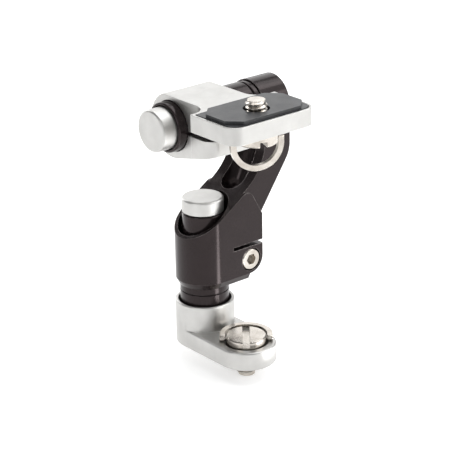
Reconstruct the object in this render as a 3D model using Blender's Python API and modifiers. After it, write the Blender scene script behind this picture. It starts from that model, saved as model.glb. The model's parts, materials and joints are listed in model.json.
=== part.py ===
"""Two-axis push-button mount: a silver foot, a black gooseneck bracket and a silver tilting platform.

The pan axis is vertical through the origin, which lies on the foot's underside. The tilt axis runs
along X above it. Each axis turns on a push-button cartridge: a spindle, a bush, a tube, a sprung
plunger with a silver button, and a friction cone that locks the spindle until the button is pressed.
The foot and the platform each hold a captive coin screw with a folding D ring. The platform points
towards -Y.
"""
import math

import bmesh
import bpy
from mathutils import Matrix, Vector

MM = 0.001
GAP = 0.3 * MM

# Resolution of round pieces, in steps per turn.
FINE = 48
MEDIUM = 36
SMALL = 24

# Foot: a cup for the pan spindle and a tongue with a round end.
FOOT_RADIUS = 9.0 * MM
TONGUE_REACH = 19.4 * MM
TONGUE_HEIGHT = 5.8 * MM
CUP_HEIGHT = 14.0 * MM
CUP_BORE = 8.0 * MM
CUP_FLOOR = 3.3 * MM
CUP_STEP = 9.3 * MM
PLUG_BORE = 6.5 * MM
SET_SCREW_HEIGHT = 6.3 * MM
SCREW_SEAT_RADIUS = 6.6 * MM
SCREW_SEAT_DEPTH = 2.35 * MM

# Cartridges, shared by both axes. Depths are measured from the button's face along its axis.
BUTTON_RADIUS = 6.35 * MM
BUTTON_EDGE = 0.7 * MM
TUBE_RADIUS = 7.5 * MM
TUBE_BORE = 6.7 * MM
CLAMP_BORE = 7.7 * MM
POCKET_RADIUS = 5.35 * MM
POCKET_DEPTH = 6.8 * MM
PLUNGER_DEPTH = 15.4 * MM
SPINDLE_TOP_DEPTH = 16.9 * MM
SPINDLE_RADIUS = 4.9 * MM
SPINDLE_BORE = 3.6 * MM
CAVITY_DEPTH = 36.6 * MM
ROD_DEPTH = 33.0 * MM
ROD_RADIUS = 1.2 * MM
ROD_HOLE = 1.55 * MM
SPRING_RADIUS = 4.25 * MM
SPRING_WIRE = 0.42 * MM
SPRING_TURNS = 5

# Pan axis.
PAN_BUTTON_TOP = 46.9 * MM
PAN_BUTTON_LENGTH = 4.4 * MM
PAN_TUBE_TOP = 33.0 * MM
PAN_TUBE_BOTTOM = 12.3 * MM

# Tilt axis.
TILT_HEIGHT = 71.5 * MM
TILT_BUTTON_FACE = -18.6 * MM
TILT_BUTTON_LENGTH = 5.3 * MM
TILT_TUBE_LEFT = -13.8 * MM
TILT_TUBE_RIGHT = 16.0 * MM

# Bracket: a clamp body round the pan tube, and an arm that carries the tilt spindle.
BODY_RADIUS = 8.75 * MM
BODY_RIGHT = 16.0 * MM
BODY_CHAMFER_TOP = 21.3 * MM
BODY_BOTTOM = 19.4 * MM
BODY_CHAMFER = 0.95 * MM
SLOPE_BASE = 41.44 * MM
SLOPE = 0.653
SHOULDER_FOOT = 39.66 * MM
SHOULDER_SLOPE = 1.8
SHOULDER_RADIUS = 2.5 * MM
EAR_RADIUS = 5.0 * MM
EAR_SLOT_BOTTOM = 30.1 * MM
EAR_SLOT_TOP = 31.3 * MM
EAR_SLOT_START = 4.5 * MM
CLAMP_SLIT = 1.2 * MM
ARM_HALF_WIDTH = 7.9 * MM
ARM_INNER = 18.3 * MM
ARM_OUTER = 28.0 * MM
ARM_BACK_RADIUS = 9.0 * MM
ARM_BACK_START = (16.9 * MM, 40.8 * MM)
ARM_BACK_SLOPE = 1.435
NECK_RADIUS = 18.0 * MM
SCOOP_RADIUS = 4.3 * MM
PINCH_X = 11.45 * MM
PINCH_Z = 25.74 * MM
PINCH_HEAD = 3.45 * MM

# Platform, in heights above the tilt axis.
BLOCK_LEFT = -10.9 * MM
BLOCK_RIGHT = 6.6 * MM
BLOCK_RADIUS = 9.75 * MM
DECK_TOP = 9.0 * MM
DECK_BOTTOM = 3.8 * MM
DECK_LEFT = -17.3 * MM
DECK_RIGHT = 14.0 * MM
DECK_FRONT = -35.7 * MM
DECK_BACK = -17.0 * MM
DECK_CORNER = 4.2 * MM
DECK_FILLET = 5.0 * MM
JAW_FRONT = -17.8 * MM
JAW_TOE = -5.8 * MM
JAW_CORNER = 4.0 * MM
SLIT_LOW = -1.1 * MM
SLIT_HIGH = 0.3 * MM
RECESS_FLOOR = 7.8 * MM
RIM = 0.65 * MM
PAD_TOP = 10.1 * MM
PAD_STEP = 9.1 * MM
PAD_INSET = 0.75 * MM
PAD_CORNER = 3.8 * MM
CAMERA_X = -1.9 * MM
CAMERA_Y = -27.5 * MM
CAMERA_TIP = 12.7 * MM
CAMERA_SEAT_DEPTH = 0.7 * MM

# Captive coin screws with their rings.
THREAD_RADIUS = 3.175 * MM
NECK_OF_SCREW = 2.4 * MM
HEAD_RADIUS = 6.1 * MM
HEAD_HEIGHT = 4.15 * MM
HEAD_CHAMFER = 0.35 * MM
COIN_SLOT = 2.2 * MM
COIN_DEPTH = 1.7 * MM
PIVOT_DEPTH = 1.15 * MM
RING_OUTER = 8.0 * MM
RING_WIDTH = 1.65 * MM
RING_THICKNESS = 1.5 * MM
RING_LEG = 1.7 * MM
RING_HEEL = 0.35 * MM
PIN_REACH = 1.2 * MM
PIN_RADIUS = 0.45 * MM
PIN_HOLE = 0.75 * MM
RING_LUG = 0.85 * MM
CLIP_THICKNESS = 0.7 * MM
FOOT_SCREW_TIP = -4.7 * MM
FOOT_RING_TURN = math.radians(-39.4)
CAMERA_RING_TURN = math.radians(-21.0)

SILVER = ("silver anodised aluminium", (0.72, 0.72, 0.71), 0.38, 1.0)
BLACK = ("black anodised aluminium", (0.030, 0.028, 0.030), 0.34, 0.6)
NICKEL = ("bright nickel steel", (0.78, 0.75, 0.71), 0.18, 1.0)
STEEL = ("turned steel", (0.55, 0.55, 0.56), 0.32, 1.0)
BRONZE = ("sintered bronze", (0.52, 0.33, 0.16), 0.45, 1.0)
SPRING_STEEL = ("spring steel", (0.40, 0.41, 0.43), 0.30, 1.0)
RUBBER = ("black rubber", (0.055, 0.056, 0.060), 0.75, 0.0)


def new_collection(name):
    collection = bpy.data.collections.new(name)
    bpy.context.scene.collection.children.link(collection)
    return collection


def material_for(name, finish):
    """A Principled material of the given finish, one for each sub-part."""
    title, colour, roughness, metallic = finish
    material = bpy.data.materials.new(f"{name} {title}")
    material.use_nodes = True
    shader = material.node_tree.nodes["Principled BSDF"]
    shader.inputs["Base Color"].default_value = (*colour, 1.0)
    shader.inputs["Roughness"].default_value = roughness
    shader.inputs["Metallic"].default_value = metallic
    material.diffuse_color = (*colour, 1.0)
    return material


def place(obj, matrix, finish=None):
    """Puts an object in the parts collection, or among the cutters when it has no finish."""
    obj.matrix_world = matrix
    if finish is None:
        obj.hide_render = True
        obj.display_type = "WIRE"
        CUTTERS.objects.link(obj)
        return obj
    PARTS.objects.link(obj)
    obj.data.materials.append(material_for(obj.name, finish))
    obj.data.shade_smooth()
    return obj


def cut(obj, *cutters, operation="DIFFERENCE"):
    """Adds one exact Boolean for each cutter, in the given order."""
    for cutter in cutters:
        step = obj.modifiers.new(f"{operation.lower()} {cutter.name}", "BOOLEAN")
        step.operation = operation
        step.solver = "EXACT"
        step.object = cutter
    return obj


def turned(name, profile, finish=None, matrix=Matrix(), steps=FINE):
    """Turns a profile of (radius, height) points about the local Z axis."""
    mesh = bpy.data.meshes.new(name)
    pairs = [(i, (i + 1) % len(profile)) for i in range(len(profile))]
    edges = [(i, j) for i, j in pairs if profile[i][0] > 0 or profile[j][0] > 0]
    mesh.from_pydata([(radius, 0, height) for radius, height in profile], edges, [])
    obj = place(bpy.data.objects.new(name, mesh), matrix, finish)
    screw = obj.modifiers.new("turn", "SCREW")
    screw.axis = "Z"
    screw.steps = steps
    screw.render_steps = steps
    screw.use_merge_vertices = True
    screw.merge_threshold = 0.00001
    screw.use_smooth_shade = True
    return obj


def rod(name, radius, low, high, finish=None, matrix=Matrix(), steps=FINE, chamfer=0.0):
    """A round bar from one height to the other, with an optional chamfer at its top."""
    profile = [(0, high), (radius - chamfer, high), (radius, high - chamfer), (radius, low), (0, low)]
    if not chamfer:
        profile.pop(1)
    return turned(name, profile, finish, matrix, steps)


def tube(name, outer, inner, low, high, finish, matrix=Matrix(), steps=FINE):
    """A pipe with a small chamfer on both outer ends."""
    chamfer = 0.25 * MM
    profile = [
        (inner, high),
        (outer - chamfer, high),
        (outer, high - chamfer),
        (outer, low + chamfer),
        (outer - chamfer, low),
        (inner, low),
    ]
    return turned(name, profile, finish, matrix, steps)


def box(name, low, high, finish=None, matrix=Matrix()):
    """A block between two corners."""
    bm = bmesh.new()
    bmesh.ops.create_cube(bm, size=1.0)
    low, high = Vector(low), Vector(high)
    size = high - low
    shape = Matrix.Translation((low + high) / 2) @ Matrix.Diagonal((*size, 1.0))
    bmesh.ops.transform(bm, matrix=shape, verts=bm.verts)
    mesh = bpy.data.meshes.new(name)
    bm.to_mesh(mesh)
    bm.free()
    return place(bpy.data.objects.new(name, mesh), matrix, finish)


def arc(centre, radius, start, end, steps):
    """Points along an arc, with both angles in degrees."""
    points = []
    for step in range(steps + 1):
        angle = math.radians(start + (end - start) * step / steps)
        points.append((centre[0] + radius * math.cos(angle), centre[1] + radius * math.sin(angle)))
    return points


def welded_mesh(name, curve):
    """Turns a curve into one closed mesh and removes the curve's object."""
    pattern = bpy.data.objects.new(name + " pattern", curve)
    bpy.context.scene.collection.objects.link(pattern)
    bpy.context.view_layer.update()
    graph = bpy.context.evaluated_depsgraph_get()
    mesh = bpy.data.meshes.new_from_object(pattern.evaluated_get(graph))
    mesh.name = name
    bpy.data.objects.remove(pattern)
    bm = bmesh.new()
    bm.from_mesh(mesh)
    bmesh.ops.remove_doubles(bm, verts=bm.verts, dist=0.000001)
    bmesh.ops.recalc_face_normals(bm, faces=bm.faces)
    bm.to_mesh(mesh)
    bm.free()
    mesh.materials.clear()
    return mesh


def slab(name, outline, low, high, finish=None, matrix=Matrix()):
    """A flat outline in local XY, filled from one height to the other."""
    curve = bpy.data.curves.new(name, "CURVE")
    curve.dimensions = "2D"
    curve.fill_mode = "BOTH"
    curve.extrude = (high - low) / 2
    spline = curve.splines.new("POLY")
    spline.points.add(len(outline) - 1)
    for point, (x, y) in zip(spline.points, outline):
        point.co = (x, y, 0, 1)
    spline.use_cyclic_u = True
    mesh = welded_mesh(name, curve)
    mesh.transform(Matrix.Translation((0, 0, (low + high) / 2)))
    return place(bpy.data.objects.new(name, mesh), matrix, finish)


def pipe(name, points, radius, finish, matrix=Matrix(), resolution=1):
    """A round wire through the given points, with flat caps."""
    curve = bpy.data.curves.new(name, "CURVE")
    curve.dimensions = "3D"
    curve.bevel_depth = radius
    curve.bevel_resolution = resolution
    curve.use_fill_caps = True
    spline = curve.splines.new("POLY")
    spline.points.add(len(points) - 1)
    for point, position in zip(spline.points, points):
        point.co = (*position, 1)
    return place(bpy.data.objects.new(name, welded_mesh(name, curve)), matrix, finish)


def capsule(name, start, end, radius):
    """A round-ended cutter between two points."""
    start, end = Vector(start), Vector(end)
    length = (end - start).length
    turns = [math.radians(angle) for angle in range(0, -90, -15)]
    low_cap = [(radius * math.cos(turn), radius * math.sin(turn)) for turn in turns]
    high_cap = [(r, length - z) for r, z in reversed(low_cap)]
    profile = [(0, length + radius), *high_cap, *low_cap, (0, -radius)]
    turn = (end - start).to_track_quat("Z", "Y").to_matrix().to_4x4()
    return turned(name, profile, None, Matrix.Translation(start) @ turn, MEDIUM)


# Side views are drawn in local XY and stood up: XZ views look along Y, YZ views look along X.
UPRIGHT_XZ = Matrix.Rotation(math.radians(90), 4, "X")
UPRIGHT_YZ = Matrix(((0, 0, 1, 0), (1, 0, 0, 0), (0, 1, 0, 0), (0, 0, 0, 1)))
PAN = Matrix.Translation((0, 0, PAN_BUTTON_TOP))
TILT = Matrix.Translation((TILT_BUTTON_FACE, 0, TILT_HEIGHT)) @ Matrix.Rotation(math.radians(-90), 4, "Y")
TILT_CENTRE = Matrix.Translation((0, 0, TILT_HEIGHT))


def make_foot():
    """The cup and tongue, cut from one outline."""
    end = -TONGUE_REACH
    outline = arc((0, 0), FOOT_RADIUS, 0, 180, 28) + arc((0, end), FOOT_RADIUS, 180, 360, 28)
    foot = slab("base_foot", outline, 0, CUP_HEIGHT, SILVER)
    margin = 2 * MM
    far = end - FOOT_RADIUS - margin
    side = FOOT_RADIUS + margin
    notch = arc((0, 0), FOOT_RADIUS + 0.06 * MM, 180, 360, 28)
    notch = [(-side, 0), *notch, (side, 0), (side, far), (-side, far)]
    over_tongue = slab("over tongue", notch, TONGUE_HEIGHT, CUP_HEIGHT + margin)
    top = CUP_HEIGHT + margin
    bore = [
        (0, top), (CUP_BORE, top), (CUP_BORE, CUP_STEP), (PLUG_BORE, CUP_STEP), (PLUG_BORE, CUP_FLOOR),
        (0, CUP_FLOOR),
    ]
    cup_bore = turned("cup bore", bore)
    set_hole = rod("set screw hole", 1.8 * MM, 5.5 * MM, FOOT_RADIUS + margin, None, at_set_screw(), SMALL)
    floor = TONGUE_HEIGHT - SCREW_SEAT_DEPTH
    hole = THREAD_RADIUS + GAP
    seat = [
        (0, top), (SCREW_SEAT_RADIUS, top), (SCREW_SEAT_RADIUS, floor), (hole, floor), (hole, 1.3 * MM),
        (4.9 * MM, 1.3 * MM), (4.9 * MM, -margin), (0, -margin),
    ]
    screw_seat = turned("screw seat", seat, None, Matrix.Translation((0, end, 0)))
    return cut(foot, over_tongue, cup_bore, set_hole, screw_seat)


def at_set_screw():
    return Matrix.Translation((0, 0, SET_SCREW_HEIGHT)) @ Matrix.Rotation(math.radians(-90), 4, "X")


def make_set_screw():
    """The screw in the cup's back wall that holds the pan spindle."""
    face, tip = FOOT_RADIUS - 0.3 * MM, PLUG_BORE
    profile = [
        (0.75 * MM, face), (1.3 * MM, face), (1.5 * MM, face - 0.2 * MM), (1.5 * MM, tip + 0.3 * MM),
        (1.0 * MM, tip), (0, tip), (0, face - 1.2 * MM), (0.75 * MM, face - 1.2 * MM),
    ]
    turned("base_set_screw", profile, STEEL, at_set_screw(), SMALL)


def make_cartridge(axis, frame, button_length, tube_span, flange, plug):
    """One push-button cartridge. Heights are negative depths below the button's face."""
    seam = -button_length
    stub = 2.0 * MM
    rounding = arc((BUTTON_RADIUS - BUTTON_EDGE, -BUTTON_EDGE), BUTTON_EDGE, 90, 0, 4)
    button = [
        (0, 0), *rounding, (BUTTON_RADIUS, seam), (stub, seam), (stub, seam - 1.2 * MM), (0, seam - 1.2 * MM),
    ]
    turned(f"{axis}_button", button, SILVER, frame)
    top = seam - GAP
    pocket = -POCKET_DEPTH - max(0.0, button_length - PAN_BUTTON_LENGTH)
    rod_end = -ROD_DEPTH
    plunger = [
        (stub + GAP, top), (BUTTON_RADIUS - 0.3 * MM, top), (BUTTON_RADIUS, top - 0.3 * MM),
        (BUTTON_RADIUS, -PLUNGER_DEPTH), (POCKET_RADIUS, -PLUNGER_DEPTH), (POCKET_RADIUS, pocket),
        (ROD_RADIUS, pocket), (ROD_RADIUS, rod_end), (0, rod_end), (0, seam - 1.5 * MM),
        (stub + GAP, seam - 1.5 * MM),
    ]
    turned(f"{axis}_plunger", plunger, BLACK, frame, MEDIUM)
    tube_high, tube_low = tube_span
    tube(f"{axis}_tube", TUBE_RADIUS, TUBE_BORE, tube_low, tube_high, BLACK, frame)
    bush_high = -27.0 * MM
    bush_low = tube_low + 0.6 * MM
    tube(f"{axis}_bush", TUBE_BORE - GAP, SPINDLE_RADIUS + GAP, bush_low, bush_high, BRONZE, frame, MEDIUM)
    top = -SPINDLE_TOP_DEPTH
    taper_top = top - 2.2 * MM
    taper_low = taper_top - 3.4 * MM
    cavity_low = -CAVITY_DEPTH
    plug_radius, plug_low, bolt_depth = plug
    bolt_radius = 1.6 * MM if bolt_depth else 0
    spindle = [
        (ROD_HOLE, top), (SPINDLE_RADIUS - 0.3 * MM, top), (SPINDLE_RADIUS, top - 0.3 * MM),
        (SPINDLE_RADIUS, flange[0][1]), *flange, (plug_radius, plug_low), (bolt_radius, plug_low),
    ]
    if bolt_depth:
        spindle += [(bolt_radius, plug_low + bolt_depth), (0, plug_low + bolt_depth)]
    spindle += [(0, cavity_low), (SPINDLE_BORE, cavity_low), (SPINDLE_BORE, taper_low), (ROD_HOLE, taper_top)]
    turned(f"{axis}_spindle", spindle, STEEL, frame, MEDIUM)
    slope = (SPINDLE_BORE - ROD_HOLE) / (taper_top - taper_low)
    cone_top = taper_top - 1.0 * MM
    cone_low = taper_low - 0.4 * MM
    top_radius = ROD_HOLE + slope * (taper_top - cone_top) - GAP
    cone = [
        (ROD_RADIUS + GAP, cone_top), (top_radius, cone_top), (SPINDLE_BORE - GAP - 0.12 * MM, cone_low),
        (SPINDLE_BORE - GAP - 0.12 * MM, cone_low - 4.0 * MM), (ROD_RADIUS + GAP, cone_low - 4.0 * MM),
    ]
    turned(f"{axis}_lock_cone", cone, BRONZE, frame, SMALL)
    nut_high = cone_low - 4.0 * MM - GAP
    nut = [
        (ROD_RADIUS + GAP, nut_high), (2.6 * MM, nut_high), (2.6 * MM, nut_high - 1.8 * MM),
        (ROD_RADIUS + GAP, nut_high - 1.8 * MM),
    ]
    turned(f"{axis}_lock_nut", nut, STEEL, frame, 6)
    wire_low = top + SPRING_WIRE + GAP
    wire_high = pocket - SPRING_WIRE - GAP
    turn_points = 14
    count = SPRING_TURNS * turn_points
    coil = []
    for step in range(count + 1):
        angle = 2 * math.pi * step / turn_points
        height = wire_low + (wire_high - wire_low) * step / count
        coil.append((SPRING_RADIUS * math.cos(angle), SPRING_RADIUS * math.sin(angle), height))
    pipe(f"{axis}_spring", coil, SPRING_WIRE, SPRING_STEEL, frame)


def make_cartridges():
    """The pan cartridge stands in the cup; the tilt cartridge lies through the arm's top."""
    pan_span = (PAN_TUBE_TOP - PAN_BUTTON_TOP, PAN_TUBE_BOTTOM - PAN_BUTTON_TOP)
    flange_low = CUP_STEP + GAP - PAN_BUTTON_TOP
    pan_flange = [
        (CUP_BORE - GAP, 12.0 * MM - PAN_BUTTON_TOP), (CUP_BORE - GAP, flange_low),
        (PLUG_BORE - GAP, flange_low),
    ]
    pan_plug = (PLUG_BORE - GAP, CUP_FLOOR + GAP - PAN_BUTTON_TOP, 0)
    make_cartridge("pan", PAN, PAN_BUTTON_LENGTH, pan_span, pan_flange, pan_plug)
    tilt_span = (TILT_BUTTON_FACE - TILT_TUBE_LEFT, TILT_BUTTON_FACE - TILT_TUBE_RIGHT)
    flange_high = TILT_BUTTON_FACE - TILT_TUBE_RIGHT - GAP
    flange_low = TILT_BUTTON_FACE - ARM_INNER + GAP
    flange_edge = 0.3 * MM
    flange = [
        (TUBE_RADIUS - flange_edge, flange_high), (TUBE_RADIUS, flange_high - flange_edge),
        (TUBE_RADIUS, flange_low), (5.6 * MM, flange_low),
    ]
    tilt_plug = (5.6 * MM, TILT_BUTTON_FACE - ARM_OUTER + 1.7 * MM, 5.2 * MM)
    make_cartridge("tilt", TILT, TILT_BUTTON_LENGTH, tilt_span, flange, tilt_plug)


def make_arm_end():
    """The cap and bolt that hold the tilt spindle in the arm, on its outer side."""
    across = Matrix.Translation((0, 0, TILT_HEIGHT)) @ Matrix.Rotation(math.radians(90), 4, "Y")
    face = ARM_OUTER - 0.1 * MM
    seat = ARM_OUTER - 1.1 * MM
    cap = [
        (3.1 * MM, face), (6.3 * MM, face), (6.6 * MM, face - 0.3 * MM), (6.6 * MM, seat),
        (1.9 * MM, seat), (1.9 * MM, seat + 0.35 * MM), (3.1 * MM, seat + 0.35 * MM),
    ]
    turned("tilt_end_cap", cap, BLACK, across, MEDIUM)
    bolt = [
        (1.1 * MM, face - 0.1 * MM), (2.8 * MM, face - 0.1 * MM), (2.8 * MM, seat + 0.65 * MM - 0.02 * MM),
        (1.35 * MM, seat + 0.63 * MM), (1.35 * MM, ARM_OUTER - 6.5 * MM), (0, ARM_OUTER - 6.5 * MM),
        (0, face - 0.35 * MM), (1.1 * MM, face - 0.35 * MM),
    ]
    turned("tilt_end_bolt", bolt, STEEL, across, SMALL)


def slope_at(x):
    return SLOPE_BASE + SLOPE * x


def make_bracket():
    """The clamp body and the arm, joined and cut to the slope and the curved neck."""
    margin = 3 * MM
    outline = arc((0, 0), BODY_RADIUS, 90, 270, 36) + [(BODY_RIGHT, -BODY_RADIUS), (BODY_RIGHT, BODY_RADIUS)]
    body = slab("bracket", outline, BODY_CHAMFER_TOP, 52 * MM, BLACK)
    bm = bmesh.new()
    bm.from_mesh(body.data)
    underside = [face for face in bm.faces if face.normal.z < -0.9]
    depth = BODY_CHAMFER_TOP - BODY_BOTTOM
    bmesh.ops.inset_region(
        bm, faces=underside, thickness=BODY_CHAMFER, depth=depth, use_boundary=True, use_even_offset=True
    )
    bmesh.ops.recalc_face_normals(bm, faces=bm.faces)
    bm.to_mesh(body.data)
    bm.free()
    body.data.shade_smooth()

    # The shoulder falls from a rounded crest to the body's right face, outside the arm.
    crest_x = (SHOULDER_FOOT + SHOULDER_SLOPE * BODY_RIGHT - SLOPE_BASE) / (SLOPE + SHOULDER_SLOPE)
    crest = Vector((crest_x, slope_at(crest_x)))
    rise = Vector((1, SLOPE)).normalized()
    fall = Vector((1, -SHOULDER_SLOPE)).normalized()
    bend = rise.angle(fall)
    run = SHOULDER_RADIUS * math.tan(bend / 2)
    start = crest - rise * run
    centre = start + Vector((rise.y, -rise.x)) * SHOULDER_RADIUS
    first = math.degrees(math.atan2(rise.x, -rise.y))
    rounding = arc(centre, SHOULDER_RADIUS, first, first - math.degrees(bend), 8)
    low_end = crest + fall * (24 * MM)
    shoulder = [(start.x - 2 * MM, 70 * MM), (start.x - 2 * MM, slope_at(start.x - 2 * MM)), *rounding]
    shoulder += [tuple(low_end), (30 * MM, low_end.y), (30 * MM, 70 * MM)]
    over_shoulder = slab("over shoulder", shoulder, -20 * MM, 20 * MM, None, UPRIGHT_XZ)

    # The ear's lower corner is round.
    ear = (BODY_RIGHT - EAR_RADIUS, BODY_CHAMFER_TOP + EAR_RADIUS)
    corner = arc(ear, EAR_RADIUS, -90, 0, 10)
    corner += [(BODY_RIGHT + margin, ear[1]), (BODY_RIGHT + margin, 15 * MM), (ear[0], 15 * MM)]
    under_ear = slab("under ear", corner, -20 * MM, 20 * MM, None, UPRIGHT_XZ)

    # The arm leans back along a straight line, then stands up to the tilt axis.
    back_x, back_z = ARM_BACK_START
    top_z = back_z + (ARM_OUTER - back_x) * ARM_BACK_SLOPE
    lean = math.atan(ARM_BACK_SLOPE)
    run = ARM_BACK_RADIUS * math.tan((math.pi / 2 - lean) / 2)
    centre = (ARM_OUTER - ARM_BACK_RADIUS, top_z + run)
    back = arc(centre, ARM_BACK_RADIUS, -(90 - math.degrees(lean)), 0, 8)
    low_x = 8 * MM
    arm_outline = [(low_x, back_z - (back_x - low_x) * ARM_BACK_SLOPE), *back, (ARM_OUTER, TILT_HEIGHT)]
    arm_outline += [(low_x, TILT_HEIGHT)]
    arm = slab("arm", arm_outline, -ARM_HALF_WIDTH, ARM_HALF_WIDTH, None, UPRIGHT_XZ)
    along_x = Matrix.Translation((0, 0, TILT_HEIGHT)) @ Matrix.Rotation(math.radians(90), 4, "Y")
    knuckle = rod("knuckle", ARM_HALF_WIDTH, ARM_INNER - margin, ARM_OUTER, None, along_x)

    # The slope and the neck's curve, cut right across.
    centre_x = ARM_INNER - NECK_RADIUS
    away = math.hypot(1, SLOPE)
    centre_z = SLOPE_BASE + NECK_RADIUS * away + SLOPE * centre_x
    slope_angle = math.degrees(math.atan(SLOPE))
    curve = arc((centre_x, centre_z), NECK_RADIUS, slope_angle - 90, 0, 20)
    neck = [(-14 * MM, slope_at(-14 * MM)), *curve, (ARM_INNER, 90 * MM), (-14 * MM, 90 * MM)]
    above_slope = slab("above slope", neck, -20 * MM, 20 * MM, None, UPRIGHT_XZ)
    scoop = capsule("scoop", (12.2 * MM, 0, 49.6 * MM), (17.4 * MM, 0, 60.6 * MM), SCOOP_RADIUS)

    bore = rod("pan bore", CLAMP_BORE, 10 * MM, 60 * MM)
    slot_low = (EAR_SLOT_START, -20 * MM, EAR_SLOT_BOTTOM)
    ear_slot = box("ear slot", slot_low, (BODY_RIGHT + margin, 20 * MM, EAR_SLOT_TOP))
    slit_low = (5 * MM, -CLAMP_SLIT / 2, 15 * MM)
    clamp_slit = box("clamp slit", slit_low, (BODY_RIGHT + margin, CLAMP_SLIT / 2, EAR_SLOT_TOP - 0.4 * MM))
    toward_front = Matrix.Translation((PINCH_X, 0, PINCH_Z)) @ Matrix.Rotation(math.radians(90), 4, "X")
    head = PINCH_HEAD + 0.2 * MM
    bolt_hole = [
        (0, 12 * MM), (head, 12 * MM), (head, 5.2 * MM), (2.3 * MM, 5.2 * MM), (2.3 * MM, -6.5 * MM),
        (0, -6.5 * MM),
    ]
    pinch_hole = turned("pinch hole", bolt_hole, None, toward_front, MEDIUM)
    cap_floor = ARM_OUTER - 1.4 * MM
    end_hole = [
        (0, 32 * MM), (6.9 * MM, 32 * MM), (6.9 * MM, cap_floor), (5.9 * MM, cap_floor), (5.9 * MM, 10 * MM),
        (0, 10 * MM),
    ]
    spindle_bore = turned("spindle bore", end_hole, None, along_x)
    cut(body, over_shoulder, under_ear)
    cut(body, arm, knuckle, operation="UNION")
    return cut(body, above_slope, scoop, bore, ear_slot, clamp_slit, pinch_hole, spindle_bore)


def make_pinch_bolt():
    """The bolt across the ear, with a six-sided socket."""
    toward_front = Matrix.Translation((PINCH_X, 0, PINCH_Z)) @ Matrix.Rotation(math.radians(90), 4, "X")
    top = BODY_RADIUS
    profile = [
        (0, top), (PINCH_HEAD - 0.4 * MM, top), (PINCH_HEAD, top - 0.4 * MM), (PINCH_HEAD, 5.5 * MM),
        (1.95 * MM, 5.5 * MM), (1.95 * MM, -6.0 * MM), (0, -6.0 * MM),
    ]
    bolt = turned("bracket_pinch_bolt", profile, NICKEL, toward_front, SMALL)
    socket = rod("pinch socket", 1.8 * MM, top - 2.0 * MM, top + 1 * MM, None, toward_front, 6)
    return cut(bolt, socket)


def deck_outline(inset=0.0):
    """The deck's rounded front and its plain back corners, seen from above."""
    left, right = DECK_LEFT + inset, DECK_RIGHT - inset
    front, back = DECK_FRONT + inset, DECK_BACK - inset
    round_front = DECK_CORNER - inset
    points = arc((left + round_front, front + round_front), round_front, 180, 270, 9)
    points += arc((right - round_front, front + round_front), round_front, 270, 360, 9)
    small = 1.2 * MM
    points += arc((right - small, back - small), small, 0, 90, 4)
    points += arc((left + small, back - small), small, 90, 180, 4)
    return points


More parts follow.
